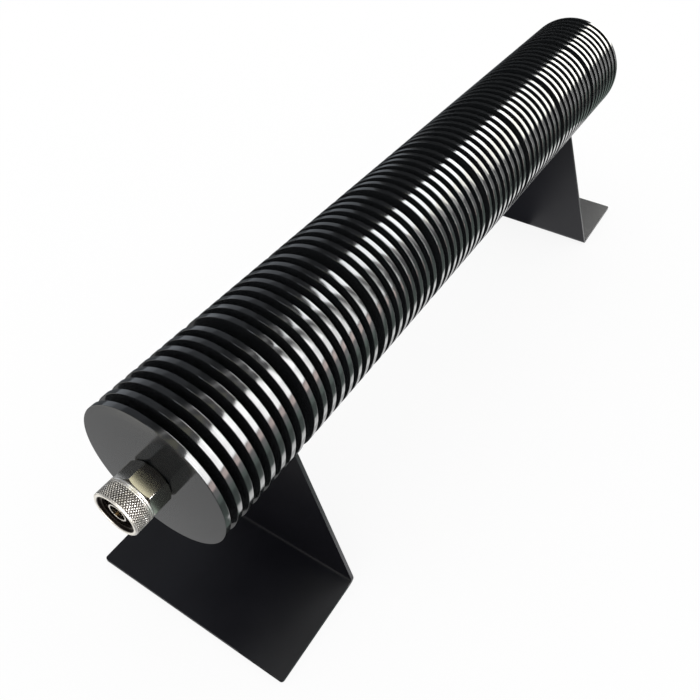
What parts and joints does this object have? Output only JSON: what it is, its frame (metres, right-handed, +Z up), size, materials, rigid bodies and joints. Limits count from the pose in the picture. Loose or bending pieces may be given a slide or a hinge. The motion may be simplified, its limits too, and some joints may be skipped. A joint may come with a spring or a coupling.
{
  "type": "coaxial attenuator",
  "caption": "High-power coaxial attenuator: a long finned black radiator on folded sheet stands, with a male connector and turning coupling nut at one end and a female connector at the other.",
  "frame": {"origin": "on the floor under the middle of the whole length", "axes": "+Z up, +Y along the radiator from the male input connector to the female output connector, +X to the right seen from the input end"},
  "size_m": [0.111, 0.4756, 0.142],
  "materials": {
    "black_radiator": "black anodised, turned, semi-gloss",
    "black_sheet": "black anodised sheet, satin",
    "nickel": "bright nickel plate",
    "gold_contact": "gold plate",
    "spring_metal": "drawn spring bronze",
    "white_insulator": "white, waxy",
    "gasket": "soft silicone",
    "bare_aluminium": "milled",
    "ceramic": "fired ceramic with a dark resistive film",
    "dark_steel": "black oxide"
  },
  "bodies": {
    "attenuator": {"radiator_body": "black_radiator", "front_stand": "black_sheet", "rear_stand": "black_sheet", "input_connector_body": "nickel", "input_bead": "white_insulator", "input_bead_retainer": "nickel", "input_centre_pin": "gold_contact", "input_gasket": "gasket", "nut_retaining_ring": "spring_metal", "output_connector_body": "nickel", "output_bead": "white_insulator", "output_bead_retainer": "nickel", "output_centre_socket": "gold_contact", "lower_carrier": "bare_aluminium", "upper_carrier": "bare_aluminium", "input_launch_tab": "gold_contact", "output_launch_tab": "gold_contact", "carrier_clamp_screws": "dark_steel", "attenuator_card_1": "ceramic", "attenuator_card_2": "ceramic", "attenuator_card_3": "ceramic", "attenuator_card_4": "ceramic", "card_link_1": "gold_contact", "card_link_2": "gold_contact", "card_link_3": "gold_contact"},
    "coupling_nut": {"coupling_nut": "nickel"}
  },
  "joints": [
    {"name": "coupling_nut_spin", "type": "hinge", "parent": "attenuator", "child": "coupling_nut", "pos_m": [0, -0.2332, 0.107], "axis": [0, -1, 0], "continuous": true}
  ]
}
